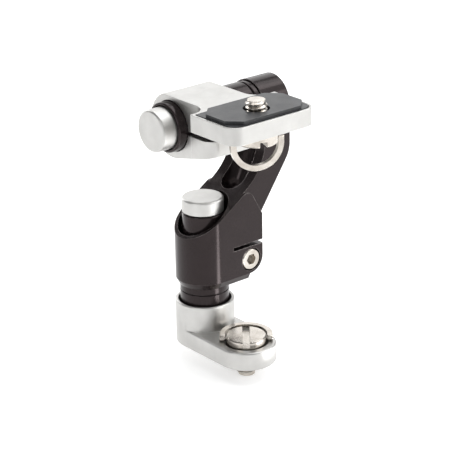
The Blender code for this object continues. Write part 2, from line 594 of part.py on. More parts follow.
def make_platform():
    """The clamp block and the camera deck, cut from one side view."""
    margin = 3 * MM
    flat_back = math.sqrt(BLOCK_RADIUS ** 2 - DECK_TOP ** 2)
    top_angle = math.degrees(math.atan2(DECK_TOP, flat_back))
    toe = Vector((JAW_FRONT, JAW_TOE))
    reach = math.acos(BLOCK_RADIUS / toe.length)
    tangent = math.degrees(math.atan2(toe.y, toe.x) + reach)
    side = [(DECK_FRONT, DECK_TOP), (DECK_FRONT, DECK_BOTTOM), (JAW_FRONT, DECK_BOTTOM), (JAW_FRONT, JAW_TOE)]
    side += arc((0, 0), BLOCK_RADIUS, tangent, top_angle, 40)
    width = (DECK_LEFT, DECK_RIGHT)
    platform = slab("platform", side, *width, SILVER, TILT_CENTRE @ UPRIGHT_YZ)

    low, high = -14 * MM, 14 * MM
    fillet = DECK_FILLET
    curve = arc((BLOCK_LEFT - fillet, DECK_BACK + fillet), fillet, 0, -90, 9)
    outline = [(BLOCK_LEFT, 20 * MM), *curve, (DECK_LEFT - margin, DECK_BACK), (DECK_LEFT - margin, 20 * MM)]
    beside_left = slab("beside block left", outline, low, high, None, TILT_CENTRE)
    curve = arc((BLOCK_RIGHT + fillet, DECK_BACK + fillet), fillet, 180, 270, 9)
    outline = [(BLOCK_RIGHT, 20 * MM), *curve]
    outline += [(DECK_RIGHT + margin, DECK_BACK), (DECK_RIGHT + margin, 20 * MM)]
    beside_right = slab("beside block right", outline, low, high, None, TILT_CENTRE)

    # Below the deck only the clamp block is left, with round front corners.
    step = 0.05 * MM
    front = JAW_FRONT - margin
    round_left = arc((BLOCK_LEFT + step + JAW_CORNER, JAW_FRONT + JAW_CORNER), JAW_CORNER, 180, 270, 9)
    outline = [*round_left, (BLOCK_LEFT + step + JAW_CORNER, front), (DECK_LEFT - margin, front)]
    outline += [(DECK_LEFT - margin, -9 * MM), (BLOCK_LEFT + step, -9 * MM)]
    under_left = slab("under deck left", outline, low, DECK_BOTTOM, None, TILT_CENTRE)
    round_right = arc((BLOCK_RIGHT - step - JAW_CORNER, JAW_FRONT + JAW_CORNER), JAW_CORNER, 270, 360, 9)
    outline = [(BLOCK_RIGHT - step - JAW_CORNER, front), *round_right, (BLOCK_RIGHT - step, -9 * MM)]
    outline += [(DECK_RIGHT + margin, -9 * MM), (DECK_RIGHT + margin, front)]
    under_right = slab("under deck right", outline, low, DECK_BOTTOM, None, TILT_CENTRE)

    outside = slab("deck corners", corner_frame(), DECK_BOTTOM - 1 * MM, high, None, TILT_CENTRE)
    along_x = TILT_CENTRE @ Matrix.Rotation(math.radians(90), 4, "Y")
    bore = rod("tilt bore", CLAMP_BORE, -30 * MM, 30 * MM, None, along_x)
    slit_low = (-20 * MM, JAW_FRONT - margin / 3, SLIT_LOW)
    slit = box("jaw slit", slit_low, (20 * MM, -5 * MM, SLIT_HIGH), None, TILT_CENTRE)
    recess = slab("pad recess", deck_outline(RIM), RECESS_FLOOR, high, None, TILT_CENTRE)
    at_camera = TILT_CENTRE @ Matrix.Translation((CAMERA_X, CAMERA_Y, 0))
    hole = THREAD_RADIUS + GAP
    floor = DECK_BOTTOM + CAMERA_SEAT_DEPTH
    seat = [
        (0, 12 * MM), (4.9 * MM, 12 * MM), (4.9 * MM, 6.8 * MM), (hole, 6.8 * MM), (hole, floor),
        (HEAD_RADIUS + GAP, floor), (HEAD_RADIUS + GAP, 0),
        (0, 0),
    ]
    camera_hole = turned("camera hole", seat, None, at_camera, MEDIUM)
    at_jaw = TILT_CENTRE @ Matrix.Translation(((BLOCK_LEFT + BLOCK_RIGHT) / 2, -12.9 * MM, 0))
    bolt_hole = [
        (0, 6.9 * MM), (1.8 * MM, 6.9 * MM), (1.8 * MM, -3.9 * MM), (3.1 * MM, -3.9 * MM),
        (3.1 * MM, -14 * MM), (0, -14 * MM),
    ]
    jaw_hole = turned("jaw bolt hole", bolt_hole, None, at_jaw, SMALL)
    cut(platform, beside_left, beside_right, under_left, under_right, outside)
    return cut(platform, bore, slit, recess, camera_hole, jaw_hole)


def corner_frame():
    """The region in front of and beside the deck that its round corners leave free."""
    left, right, front, back = DECK_LEFT, DECK_RIGHT, DECK_FRONT, DECK_BACK
    out = 3 * MM
    radius = DECK_CORNER
    points = [(left - out, front + radius)]
    points += arc((left + radius, front + radius), radius, 180, 270, 9)
    points += arc((right - radius, front + radius), radius, 270, 360, 9)
    points += [(right + out, front + radius), (right + out, front - out), (left - out, front - out)]
    return points


def make_jaw_bolt():
    """The bolt that draws the jaw up against the tilt tube."""
    at_jaw = TILT_CENTRE @ Matrix.Translation(((BLOCK_LEFT + BLOCK_RIGHT) / 2, -12.9 * MM, 0))
    profile = [
        (0, 6.5 * MM), (1.5 * MM, 6.5 * MM), (1.5 * MM, -4.2 * MM), (2.75 * MM, -4.2 * MM),
        (2.75 * MM, -6.6 * MM), (1.25 * MM, -6.6 * MM), (1.25 * MM, -5.2 * MM), (0, -5.2 * MM),
    ]
    turned("platform_jaw_bolt", profile, STEEL, at_jaw, SMALL)


def make_pad():
    """The rubber pad: a sheet that fills the recess, with a raised eight-sided face."""
    pad = slab("platform_pad", deck_outline(RIM + GAP), RECESS_FLOOR + GAP, PAD_STEP, RUBBER, TILT_CENTRE)
    inset = PAD_INSET + RIM
    left, right = DECK_LEFT + inset, DECK_RIGHT - inset
    front, back = DECK_FRONT + inset, DECK_BACK - inset
    cant = PAD_CORNER
    outline = [
        (left, front + cant), (left + cant, front), (right - cant, front), (right, front + cant),
        (right, back - cant), (right - cant, back), (left + cant, back), (left, back - cant),
    ]
    raised = slab("raised face", outline, PAD_STEP - 0.6 * MM, PAD_TOP, None, TILT_CENTRE)
    at_camera = TILT_CENTRE @ Matrix.Translation((CAMERA_X, CAMERA_Y, 0))
    hole = rod("pad hole", 3.9 * MM, 5 * MM, 12 * MM, None, at_camera, SMALL)
    cut(pad, raised, operation="UNION")
    return cut(pad, hole)


def make_coin_screw(name, frame, length, neck, turn):
    """A captive screw. Its head's top is at local zero and its thread points down."""
    seat = -HEAD_HEIGHT
    waist = seat - neck
    tip_edge = 0.6 * MM
    profile = [
        (0, 0), (HEAD_RADIUS - HEAD_CHAMFER, 0), (HEAD_RADIUS, -HEAD_CHAMFER), (HEAD_RADIUS, seat),
        (NECK_OF_SCREW, seat), (NECK_OF_SCREW, waist), (THREAD_RADIUS, waist - 0.4 * MM),
        (THREAD_RADIUS, -length + tip_edge), (THREAD_RADIUS - tip_edge, -length), (0, -length),
    ]
    spin = frame @ Matrix.Rotation(turn, 4, "Z")
    screw = turned(name, profile, NICKEL, spin, MEDIUM)
    wide = HEAD_RADIUS + 2 * MM
    slot_low = (-COIN_SLOT / 2, -wide, -COIN_DEPTH)
    slot = box(f"{name} coin slot", slot_low, (COIN_SLOT / 2, wide, 2 * MM), None, spin)
    across = Matrix.Translation((0, 0, -PIVOT_DEPTH)) @ Matrix.Rotation(math.radians(90), 4, "Y")
    bar = HEAD_RADIUS + 2 * MM
    start = HEAD_RADIUS - PIN_REACH
    right_hole = rod(f"{name} right hole", PIN_HOLE, start, bar, None, spin @ across, 16)
    left_hole = rod(f"{name} left hole", PIN_HOLE, -bar, -start, None, spin @ across, 16)
    return cut(screw, slot, right_hole, left_hole)


def make_ring(name, frame):
    """A D ring with short pins. It lies in local XY with its pivot along X, and reaches towards +Y."""
    inner = RING_OUTER - RING_WIDTH
    outline = [(RING_OUTER, -RING_HEEL), *arc((0, RING_LEG), RING_OUTER, 0, 180, 28)]
    outline += [(-RING_OUTER, -RING_HEEL), (-inner, -RING_HEEL)]
    outline += [*arc((0, RING_LEG), inner, 180, 0, 28), (inner, -RING_HEEL)]
    half = RING_THICKNESS / 2
    ring = slab(name, outline, -half, half, NICKEL, frame)
    across = frame @ Matrix.Rotation(math.radians(90), 4, "Y")
    tip = HEAD_RADIUS - PIN_REACH + GAP
    root, end = inner + 0.05 * MM, RING_OUTER - 0.05 * MM
    pin = [
        (0, end), (RING_LUG, end), (RING_LUG, root), (PIN_RADIUS, root), (PIN_RADIUS, tip), (0, tip),
    ]
    right_pin = turned(f"{name} right pin", pin, None, across, SMALL)
    other_way = across @ Matrix.Rotation(math.radians(180), 4, "X")
    left_pin = turned(f"{name} left pin", pin, None, other_way, SMALL)
    return cut(ring, right_pin, left_pin, operation="UNION")


def make_clip(name, frame):
    """An open snap ring that keeps the captive screw in its hole."""
    outer, inner, half = 4.5 * MM, NECK_OF_SCREW + GAP, CLIP_THICKNESS / 2
    gap_angle = 28
    outline = arc((0, 0), outer, gap_angle, 360 - gap_angle, 24)
    outline += arc((0, 0), inner, 360 - gap_angle, gap_angle, 20)
    slab(name, outline, -half, half, SPRING_STEEL, frame)


def make_coin_screws():
    """The foot's screw points down, the platform's points up through the pad."""
    foot_top = TONGUE_HEIGHT - SCREW_SEAT_DEPTH + GAP + HEAD_HEIGHT
    at_foot = Matrix.Translation((0, -TONGUE_REACH, foot_top))
    neck = foot_top - HEAD_HEIGHT - 0.2 * MM
    make_coin_screw("base_screw", at_foot, foot_top - FOOT_SCREW_TIP, neck, FOOT_RING_TURN)
    pivot = Matrix.Translation((0, 0, -PIVOT_DEPTH))
    turn = Matrix.Rotation(FOOT_RING_TURN, 4, "Z")
    make_ring("base_ring", at_foot @ turn @ pivot)
    make_clip("base_screw_clip", Matrix.Translation((0, -TONGUE_REACH, 0.75 * MM)))

    seat = DECK_BOTTOM + CAMERA_SEAT_DEPTH - GAP
    face = seat - HEAD_HEIGHT
    clip = 7.3 * MM
    at_camera = TILT_CENTRE @ Matrix.Translation((CAMERA_X, CAMERA_Y, 0))
    over = Matrix.Translation((0, 0, face)) @ Matrix.Rotation(math.radians(180), 4, "X")
    neck = clip + CLIP_THICKNESS - seat
    make_coin_screw("camera_screw", at_camera @ over, CAMERA_TIP - face, neck, -CAMERA_RING_TURN)
    turn = Matrix.Rotation(-CAMERA_RING_TURN, 4, "Z")
    hang = Matrix.Rotation(math.radians(90), 4, "X")
    make_ring("camera_ring", at_camera @ over @ turn @ pivot @ hang)
    make_clip("camera_screw_clip", at_camera @ Matrix.Translation((0, 0, clip)))


for leftover in list(bpy.data.objects):
    bpy.data.objects.remove(leftover)
PARTS = new_collection("alt azimuth mount")
CUTTERS = new_collection("cutters")

make_foot()
make_set_screw()
make_cartridges()
make_bracket()
make_pinch_bolt()
make_arm_end()
make_platform()
make_jaw_bolt()
make_pad()
make_coin_screws()
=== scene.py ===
"""Looks for the two-axis push-button mount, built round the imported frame."""
import json
import math

import bmesh
import bpy
from mathutils import Matrix, Vector


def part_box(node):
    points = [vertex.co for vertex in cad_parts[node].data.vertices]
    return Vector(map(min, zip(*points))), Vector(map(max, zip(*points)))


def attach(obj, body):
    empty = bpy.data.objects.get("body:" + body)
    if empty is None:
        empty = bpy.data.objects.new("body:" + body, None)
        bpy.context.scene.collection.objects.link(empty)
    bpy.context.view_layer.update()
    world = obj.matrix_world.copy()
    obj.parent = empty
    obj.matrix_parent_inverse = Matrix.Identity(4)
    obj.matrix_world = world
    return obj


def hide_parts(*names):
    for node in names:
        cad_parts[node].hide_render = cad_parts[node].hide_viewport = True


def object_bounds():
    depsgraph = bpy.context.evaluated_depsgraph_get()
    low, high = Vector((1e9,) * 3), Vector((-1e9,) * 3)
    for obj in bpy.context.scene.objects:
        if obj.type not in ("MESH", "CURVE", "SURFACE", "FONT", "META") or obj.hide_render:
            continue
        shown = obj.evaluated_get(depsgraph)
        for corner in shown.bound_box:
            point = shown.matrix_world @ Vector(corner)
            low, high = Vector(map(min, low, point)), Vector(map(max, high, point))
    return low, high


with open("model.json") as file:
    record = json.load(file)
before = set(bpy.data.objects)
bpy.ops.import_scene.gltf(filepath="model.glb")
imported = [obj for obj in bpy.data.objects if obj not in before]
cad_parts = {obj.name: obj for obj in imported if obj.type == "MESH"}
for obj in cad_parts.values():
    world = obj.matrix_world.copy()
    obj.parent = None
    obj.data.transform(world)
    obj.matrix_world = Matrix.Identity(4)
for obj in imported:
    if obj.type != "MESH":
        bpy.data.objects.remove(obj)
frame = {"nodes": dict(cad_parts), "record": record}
CAD_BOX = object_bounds()
RECORD = frame["record"]
BODY_OF = {node: body for body, nodes in RECORD["behaviour"]["bodies"].items() for node in nodes}
SLOT_OF = {part["node"]: part["material_slot"] for part in RECORD["subparts"]}
MM = 0.001

# Screw threads, in millimetres. The ridge starts a little inside the shank.
PITCH = 1.27
ROOT_RADIUS = 2.62
CREST_RADIUS = 3.17
SHANK_LIMIT = 3.4
RIDGE_SUNK = 0.1
FADED_SUNK = 0.08
BASE_TIP_BARE = 0.5
CAMERA_TIP_BARE = 0.4
START_BELOW_FOOT = 0.1
START_IN_PAD = 0.5

# The ridge's half widths, in pitches, and how its ends fade: over how many turns, and down to what share.
ROOT_HALF_WIDTH = 0.46
CREST_HALF_WIDTH = 0.07
FADE_TURNS = 0.25
LEAST_RISE = 0.03
LEAST_WIDTH = 0.2

# Foot and lower tube, in millimetres. Their outer sizes come from the frame.
CUP_BORE = 8.0
CUP_STEP = 9.3
CUP_FLOOR = 3.3
PLUG_BORE = 6.5
TONGUE_HEIGHT = 5.8
TONGUE_EDGE = 0.65
BASE_EDGE = 0.35
RIM_EDGE = 0.45
BORE_EDGE = 0.35
CUP_PROUD = 0.02
SEAT_RADIUS = 6.6
SEAT_FLOOR = 3.45
SEAT_LIP = 0.2
CAPTIVE_HOLE = 3.475
CLIP_SEAT = (4.9, 1.3)
SET_SCREW_HEIGHT = 6.3
SET_SCREW_HOLE = 1.8
SET_SCREW_REACH = 5.5
TUBE_BORE = 6.7
TUBE_CHAMFER = 0.25
TUBE_SEAM = 17.3
SEAM_DEPTH = 0.30
SEAM_HALF_WIDTH = 0.18

# Shapes that cut the foot, in millimetres: how far they run past it, and the top of the seat's.
CUT_CLEAR = 2.0
SEAT_CUT_TOP = 9.0

# Rounding of the other pieces' edges, in millimetres.
BROAD_EDGE = 0.35
FINE_EDGE = 0.12
FASTENER_EDGE = 0.15
SCREW_EDGE = 0.18
RING_EDGE = 0.42
PAD_EDGE = 0.30

# Steps round a turned surface, round a small hole, and in one turn of a thread.
ROUND_STEPS = 128
HOLE_STEPS = 32
TURN_STEPS = 48

# Spacing of the lathe's lines, in metres.
BUTTON_LINES = 0.00022
TUBE_LINES = 0.0003
SCREW_LINES = 0.0002

# Floor, in metres, its own glow, and the even light round the object.
FLOOR_HALF = 6.0
FLOOR_GAP = 0.05 * MM
FLOOR_GLOW = 0.42
ROOM_LIGHT = 0.26

# Camera: where it looks, from which side, its small roll, how far away, and its lens in millimetres.
AIM = Vector((8.49, 0.0, 35.16)) * MM
AZIMUTH = math.radians(-39.37)
ELEVATION = math.radians(21.89)
ROLL = math.radians(-1.05)
DISTANCE = 555.88 * MM
LENS = 146.05


def node_box(node):
    low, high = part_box(node)
    return Vector(low), Vector(high)


def centre_of(node):
    low, high = node_box(node)
    return (low + high) / 2


# ---------------------------------------------------------------- materials


class Nodes:
    """Short calls for the nodes of one material."""

    def __init__(self, name, metallic, specular):
        self.material = bpy.data.materials.new(name)
        self.material.use_nodes = True
        self.tree = self.material.node_tree
        self.shader = self.tree.nodes["Principled BSDF"]
        self.shader.inputs["Metallic"].default_value = metallic
        self.shader.inputs["Specular IOR Level"].default_value = specular
        self.place = self.add("ShaderNodeTexCoord").outputs["Object"]

    def add(self, kind, **settings):
        node = self.tree.nodes.new(kind)
        for name, value in settings.items():
            setattr(node, name, value)
        return node

    def link(self, output, target):
        self.tree.links.new(output, target)

    def noise(self, scale, detail=3.0, stretch=None, rough=0.55):
        texture = self.add("ShaderNodeTexNoise")
        texture.inputs["Scale"].default_value = scale
        texture.inputs["Detail"].default_value = detail
        texture.inputs["Roughness"].default_value = rough
        place = self.place
        if stretch:
            mapping = self.add("ShaderNodeMapping")
            mapping.inputs["Scale"].default_value = stretch
            self.link(place, mapping.inputs["Vector"])
            place = mapping.outputs["Vector"]
        self.link(place, texture.inputs["Vector"])
        return texture.outputs["Fac"]

    def spread(self, value, low, high, start=0.3, end=0.7):
        """Maps a 0 to 1 pattern onto a range."""
        node = self.add("ShaderNodeMapRange")
        node.inputs["From Min"].default_value = start
        node.inputs["From Max"].default_value = end
        node.inputs["To Min"].default_value = low
        node.inputs["To Max"].default_value = high
        self.link(value, node.inputs["Value"])
        return node.outputs["Result"]

    def ramp(self, value, *stops):
        """Colours a 0 to 1 pattern between two stops, each a position and a colour."""
        node = self.add("ShaderNodeValToRGB")
        for element, (position, colour) in zip(node.color_ramp.elements, stops):
            element.position, element.color = position, (*colour, 1)
        self.link(value, node.inputs["Fac"])
        return node.outputs["Color"]

    def mix(self, factor, colour, tone):
        """Lays a plain tone over a colour where the factor is high."""
        node = self.add("ShaderNodeMix", data_type="RGBA")
        self.link(factor, node.inputs[0])
        self.link(colour, node.inputs[6])
        node.inputs[7].default_value = (*tone, 1)
        return node.outputs[2]

    def maths(self, operation, first, second):
        node = self.add("ShaderNodeMath", operation=operation)
        for socket, value in zip(node.inputs, (first, second)):
            if isinstance(value, (int, float)):
                socket.default_value = value
            else:
                self.link(value, socket)
        return node.outputs[0]

    def soft_edges(self, radius):
        node = self.add("ShaderNodeBevel", samples=6)
        node.inputs["Radius"].default_value = radius
        return node.outputs["Normal"]

    def near_edges(self, radius):
        """1 at an edge and 0 on a plain face."""
        plain = self.add("ShaderNodeNewGeometry").outputs["Normal"]
        product = self.add("ShaderNodeVectorMath", operation="DOT_PRODUCT")
        self.link(self.soft_edges(radius), product.inputs[0])
        self.link(plain, product.inputs[1])
        return self.spread(product.outputs["Value"], 1.0, 0.0, 0.88, 0.995)

    def bump(self, height, distance, strength, under=None):
        node = self.add("ShaderNodeBump")
        node.inputs["Distance"].default_value = distance
        node.inputs["Strength"].default_value = strength
        self.link(height, node.inputs["Height"])
        if under:
            self.link(under, node.inputs["Normal"])
        return node.outputs["Normal"]

    def rings(self, axis, centre, pitch):
        """Fine concentric lines round an axis through a point, as a lathe leaves on a face."""
        mapping = self.add("ShaderNodeMapping", vector_type="POINT")
        mapping.inputs["Location"].default_value = [-value for value in centre]
        wave = self.add("ShaderNodeTexWave", wave_type="RINGS", rings_direction=axis)
        wave.inputs["Scale"].default_value = 0.314 / pitch
        wave.inputs["Distortion"].default_value = 0.6
        wave.inputs["Detail"].default_value = 2.0
        wave.inputs["Detail Scale"].default_value = 3.0
        self.link(self.place, mapping.inputs["Vector"])
        self.link(mapping.outputs["Vector"], wave.inputs["Vector"])
        return wave.outputs["Fac"]

    def finish(self, colour, roughness, normal):
        self.link(colour, self.shader.inputs["Base Color"])
        self.link(roughness, self.shader.inputs["Roughness"])
        self.link(normal, self.shader.inputs["Normal"])
        return self.material


def anodised(name, tones, rough, metallic, lathe, sheen=(1, 1, 1, 1), edge_wear_and_highlight_strength=1.0):
    """Bead-blasted and anodised aluminium: a fine grain and soft clouding. Its edges are a little worn, and
    are also painted lighter and more metallic as a painted highlight along them.
    """
    deep, light, speck_wear_and_highlight_tone = tones
    n = Nodes(name, 0.0, 0.3)
    n.shader.inputs["Specular Tint"].default_value = sheen
    cloud = n.noise(140.0, 4.0)
    grain = n.noise(9000.0, 2.0)
    colour = n.ramp(cloud, (0.3, deep), (0.7, light))
    colour = n.mix(n.spread(grain, 0.0, 0.04, 0.5, 0.85), colour, speck_wear_and_highlight_tone)
    # Near the edges the colour goes to the light tone and the metal shows. This is partly edge wear and
    # partly a painted highlight along the edges.
    edge_mark_breakup = n.spread(n.noise(700.0, 6.0), 0.5 * edge_wear_and_highlight_strength, edge_wear_and_highlight_strength, 0.35, 0.60)
    edge_wear_and_highlight = n.maths("MULTIPLY", n.near_edges(0.00022), edge_mark_breakup)
    colour = n.mix(edge_wear_and_highlight, colour, speck_wear_and_highlight_tone)
    n.link(n.maths("MAXIMUM", edge_wear_and_highlight, metallic), n.shader.inputs["Metallic"])
    rub = n.noise(420.0, 5.0, (1.0, 1.0, 0.25))
    roughness = n.maths("ADD", n.spread(rub, *rough), n.spread(grain, -0.02, 0.02))
    normal = n.bump(grain, 0.00002, 0.22, n.soft_edges(0.00030))
    normal = n.bump(n.noise(260.0, 2.0), 0.0001, 0.05, normal)
    if lathe:
        normal = n.bump(n.rings(*lathe), 0.000012, 0.5, normal)
    return n.finish(colour, roughness, normal)


def plated(name, deep, light, rough, lathe=None):
    """Bright metal with soft clouding, and hairline scratches in its deeper tone."""
    n = Nodes(name, 1.0, 0.5)
    cloud = n.noise(300.0, 4.0)
    colour = n.ramp(cloud, (0.3, deep), (0.7, light))
    scratch = n.noise(1500.0, 6.0, (1.0, 9.0, 1.0), 0.7)
    fine = n.noise(5200.0, 3.0)
    colour = n.mix(n.spread(scratch, 0.0, 0.22, 0.58, 0.72), colour, deep)
    roughness = n.maths("ADD", n.spread(cloud, *rough), n.spread(scratch, 0.0, 0.10, 0.55, 0.7))
    normal = n.bump(scratch, 0.000012, 0.25, n.soft_edges(0.00015))
    normal = n.bump(fine, 0.000008, 0.2, normal)
    if lathe:
        normal = n.bump(n.rings(*lathe), 0.000010, 0.5, normal)
    return n.finish(colour, roughness, normal)


def rubber(name):
    """Dark moulded rubber with a fine pebble and a little dust."""
    n = Nodes(name, 0.0, 0.5)
    cell = n.add("ShaderNodeTexVoronoi", feature="SMOOTH_F1")
    cell.inputs["Scale"].default_value = 3600.0
    n.link(n.place, cell.inputs["Vector"])
    pebble = cell.outputs["Distance"]
    cloud = n.noise(180.0, 5.0)
    colour = n.ramp(cloud, (0.25, (0.020, 0.021, 0.023)), (0.75, (0.030, 0.032, 0.035)))
    dust = n.spread(n.noise(2400.0, 5.0), 0.0, 0.30, 0.58, 0.76)
    colour = n.mix(dust, colour, (0.14, 0.145, 0.15))
    colour = n.mix(n.spread(pebble, 0.3, 0.0, 0.0, 0.5), colour, (0.09, 0.09, 0.10))
    roughness = n.spread(cloud, 0.36, 0.48)
    normal = n.bump(pebble, 0.00004, 0.5)
    normal = n.bump(n.noise(700.0, 4.0), 0.00006, 0.25, normal)
    return n.finish(colour, roughness, normal)


def floor_material():
    """Matt white that glows a little, so that the floor stays even."""
    n = Nodes("studio floor", 0.0, 0.2)
    cloud = n.noise(6.0, 3.0)
    colour = n.ramp(cloud, (0.3, (0.86, 0.86, 0.86)), (0.7, (0.88, 0.88, 0.88)))
    roughness = n.spread(cloud, 0.75, 0.85)
    n.shader.inputs["Emission Color"].default_value = (1, 1, 1, 1)
    n.shader.inputs["Emission Strength"].default_value = FLOOR_GLOW
    return n.finish(colour, roughness, n.bump(n.noise(900.0), 0.00002, 0.1))


# An axis is its direction and a point on it. A material adds the spacing of its lines.
PAN_AXIS = ("Z", (0, 0, 0))
TILT_AXIS = ("X", (0, 0, centre_of("tilt_button").z))

# Deep and light tones of the clouding, and the light tone of the grain's specks and of the edges, where it
# stands for edge wear and a painted highlight.
SILVER_TONES = ((0.51, 0.505, 0.490), (0.59, 0.585, 0.57), (0.78, 0.78, 0.77))
BLACK_TONES = ((0.0085, 0.0060, 0.0062), (0.0130, 0.0095, 0.0098), (0.30, 0.28, 0.27))


def silver(name, lathe=None, rough=(0.36, 0.46)):
    return anodised(name, SILVER_TONES, rough, 1.0, lathe)


def black(name, lathe=None, edge_wear_and_highlight_strength=1.0):
    return anodised(name, BLACK_TONES, (0.12, 0.19), 0.0, lathe, (1.0, 0.84, 0.85, 1), edge_wear_and_highlight_strength)


def nickel(name, lathe=None):
    return plated(name, (0.46, 0.42, 0.375), (0.66, 0.625, 0.575), (0.16, 0.24), lathe)


def screw_lines(node):
    return "Z", tuple(centre_of(node)), SCREW_LINES


MATERIALS = {
    "base_foot": silver("silver foot"),
    "platform": silver("silver platform"),
    "pan_button": silver("silver pan button", PAN_AXIS + (BUTTON_LINES,), (0.38, 0.46)),
    "tilt_button": silver("silver tilt button", TILT_AXIS + (BUTTON_LINES,), (0.38, 0.46)),
    "bracket": black("black bracket"),
    "pan_tube": black("black pan tube", PAN_AXIS + (TUBE_LINES,), 0.1),
    "tilt_tube": black("black tilt tube", TILT_AXIS + (TUBE_LINES,)),
    "pan_plunger": black("black pan plunger", PAN_AXIS + (TUBE_LINES,)),
    "tilt_plunger": black("black tilt plunger", TILT_AXIS + (TUBE_LINES,)),
    "tilt_end_cap": black("black end cap", TILT_AXIS + (TUBE_LINES,)),
    "tilt_spindle": black("black tilt spindle", TILT_AXIS + (TUBE_LINES,)),
    "base_screw": nickel("nickel base screw", screw_lines("base_screw")),
    "camera_screw": nickel("nickel camera screw", screw_lines("camera_screw")),
    "base_ring": nickel("nickel base ring"),
    "camera_ring": nickel("nickel camera ring"),
    "bracket_pinch_bolt": nickel("nickel pinch bolt"),
    "platform_pad": rubber("rubber pad"),
}
STEEL = plated("turned steel", (0.46, 0.46, 0.47), (0.58, 0.58, 0.59), (0.26, 0.36))
BRONZE = plated("sintered bronze", (0.42, 0.25, 0.11), (0.55, 0.35, 0.17), (0.38, 0.50))
SPRING = plated("spring steel", (0.30, 0.31, 0.33), (0.42, 0.43, 0.45), (0.24, 0.34))
BY_SLOT = {"steel": STEEL, "bronze": BRONZE, "spring": SPRING}


# ------------------------------------------------------------------- pieces


def new_piece(name, mesh, material):
    piece = bpy.data.objects.new(name, mesh)
    bpy.context.scene.collection.objects.link(piece)
    mesh.materials.clear()
    mesh.materials.append(material)
    return piece


def clean_mesh(node, merge_flats):
    """The node's mesh, with its flat faces whole again if asked. A ring-shaped face has to stay in pieces."""
    bm = bmesh.new()
    bm.from_mesh(frame["nodes"][node].data)
    bmesh.ops.remove_doubles(bm, verts=bm.verts, dist=0.000002)
    if merge_flats:
        bmesh.ops.dissolve_limit(bm, angle_limit=math.radians(0.4), verts=bm.verts, edges=bm.edges)
    return bm


def detailed(node, edge, segments=3, angle=25, shape=None, merge_flats=True):
    """Stands a copy with rounded edges in for a CAD node."""
    bm = clean_mesh(node, merge_flats)
    if shape:
        shape(bm)
    mesh = bpy.data.meshes.new(node + "_detail")
    bm.to_mesh(mesh)
    bm.free()
    mesh.shade_smooth()
    piece = new_piece(node + "_detail", mesh, MATERIALS.get(node) or BY_SLOT[SLOT_OF[node]])
    bevel = piece.modifiers.new("edges", "BEVEL")
    bevel.width = edge * MM
    bevel.segments = segments
    bevel.limit_method = "ANGLE"
    bevel.angle_limit = math.radians(angle)
    bevel.use_clamp_overlap = True
    bevel.miter_outer = "MITER_ARC"
    even = piece.modifiers.new("even normals", "WEIGHTED_NORMAL")
    even.weight = 100
    even.use_face_influence = True
    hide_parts(node)
    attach(piece, BODY_OF[node])


def arc(centre, radius, start, end, steps):
    """Points along an arc, with both angles in degrees."""
    angles = [math.radians(start + (end - start) * step / steps) for step in range(steps + 1)]
    return [(centre[0] + radius * math.cos(a), centre[1] + radius * math.sin(a)) for a in angles]


def turned(profile, steps=ROUND_STEPS):
    """A closed mesh from a profile of (radius, height) in millimetres, turned about Z."""
    bm = bmesh.new()
    verts = [bm.verts.new((radius * MM, 0, height * MM)) for radius, height in profile]
    edges = []
    for first, second in zip(verts, verts[1:] + verts[:1]):
        if first.co.x > 0 or second.co.x > 0:
            edges.append(bm.edges.new((first, second)))
    bmesh.ops.spin(bm, geom=verts + edges, axis=(0, 0, 1), cent=(0, 0, 0), angle=2 * math.pi, steps=steps,
                   use_merge=True)
    bmesh.ops.remove_doubles(bm, verts=bm.verts, dist=0.000001)
    bmesh.ops.recalc_face_normals(bm, faces=bm.faces)
    mesh = bpy.data.meshes.new("turned")
    bm.to_mesh(mesh)
    bm.free()
    return mesh


def combined(mesh, steps):
    """The mesh after exact Booleans with other meshes, which are used up."""
    base = bpy.data.objects.new("base", mesh)
    bpy.context.scene.collection.objects.link(base)
    tools = []
    for operation, other in steps:
        tool = bpy.data.objects.new("tool", other)
        bpy.context.scene.collection.objects.link(tool)
        tools.append(tool)
        modifier = base.modifiers.new(operation, "BOOLEAN")
        modifier.operation = operation
        modifier.solver = "EXACT"
        modifier.object = tool
    bpy.context.view_layer.update()
    graph = bpy.context.evaluated_depsgraph_get()
    result = bpy.data.meshes.new_from_object(base.evaluated_get(graph))
    bm = bmesh.new()
    bm.from_mesh(result)
    bmesh.ops.remove_doubles(bm, verts=bm.verts, dist=0.000004)
    bmesh.ops.dissolve_degenerate(bm, edges=bm.edges, dist=0.000004)
    bm.to_mesh(result)
    bm.free()
    for helper in [base, *tools]:
        bpy.data.objects.remove(helper)
    return result


def stand_in(node, mesh, angle):
    """Stands a mesh drawn here in for a CAD node, smooth but for edges sharper than the angle."""
    mesh.name = node + "_detail"
    piece = new_piece(node + "_detail", mesh, MATERIALS[node])
    mesh.shade_smooth()
    mesh.set_sharp_from_angle(angle=math.radians(angle))
    even = piece.modifiers.new("even normals", "WEIGHTED_NORMAL")
    even.keep_sharp = True
    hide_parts(node)
    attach(piece, BODY_OF[node])


def tongue_solid(radius, reach):
    """A bar with round ends, well rounded along its top edge."""
    half = ROUND_STEPS // 2
    outline = arc((0, 0), radius, 0, 180, half) + arc((0, -reach), radius, 180, 360, half)
    bm = bmesh.new()
    base = [bm.verts.new((x * MM, y * MM, 0)) for x, y in outline]
    face = bm.faces.new(base)
    grown = bmesh.ops.extrude_face_region(bm, geom=[face])
    top = [item for item in grown["geom"] if isinstance(item, bmesh.types.BMVert)]
    bmesh.ops.translate(bm, vec=(0, 0, TONGUE_HEIGHT * MM), verts=top)
    bmesh.ops.recalc_face_normals(bm, faces=bm.faces)
    for height, offset, segments in ((TONGUE_HEIGHT, TONGUE_EDGE, 8), (0, BASE_EDGE, 3)):
        level = height * MM
        rim = [edge for edge in bm.edges if all(abs(vert.co.z - level) < 1e-7 for vert in edge.verts)]
        bmesh.ops.bevel(bm, geom=rim, offset=offset * MM, segments=segments, profile=0.5, affect="EDGES")
    mesh = bpy.data.meshes.new("tongue")
    bm.to_mesh(mesh)
    bm.free()
    return mesh


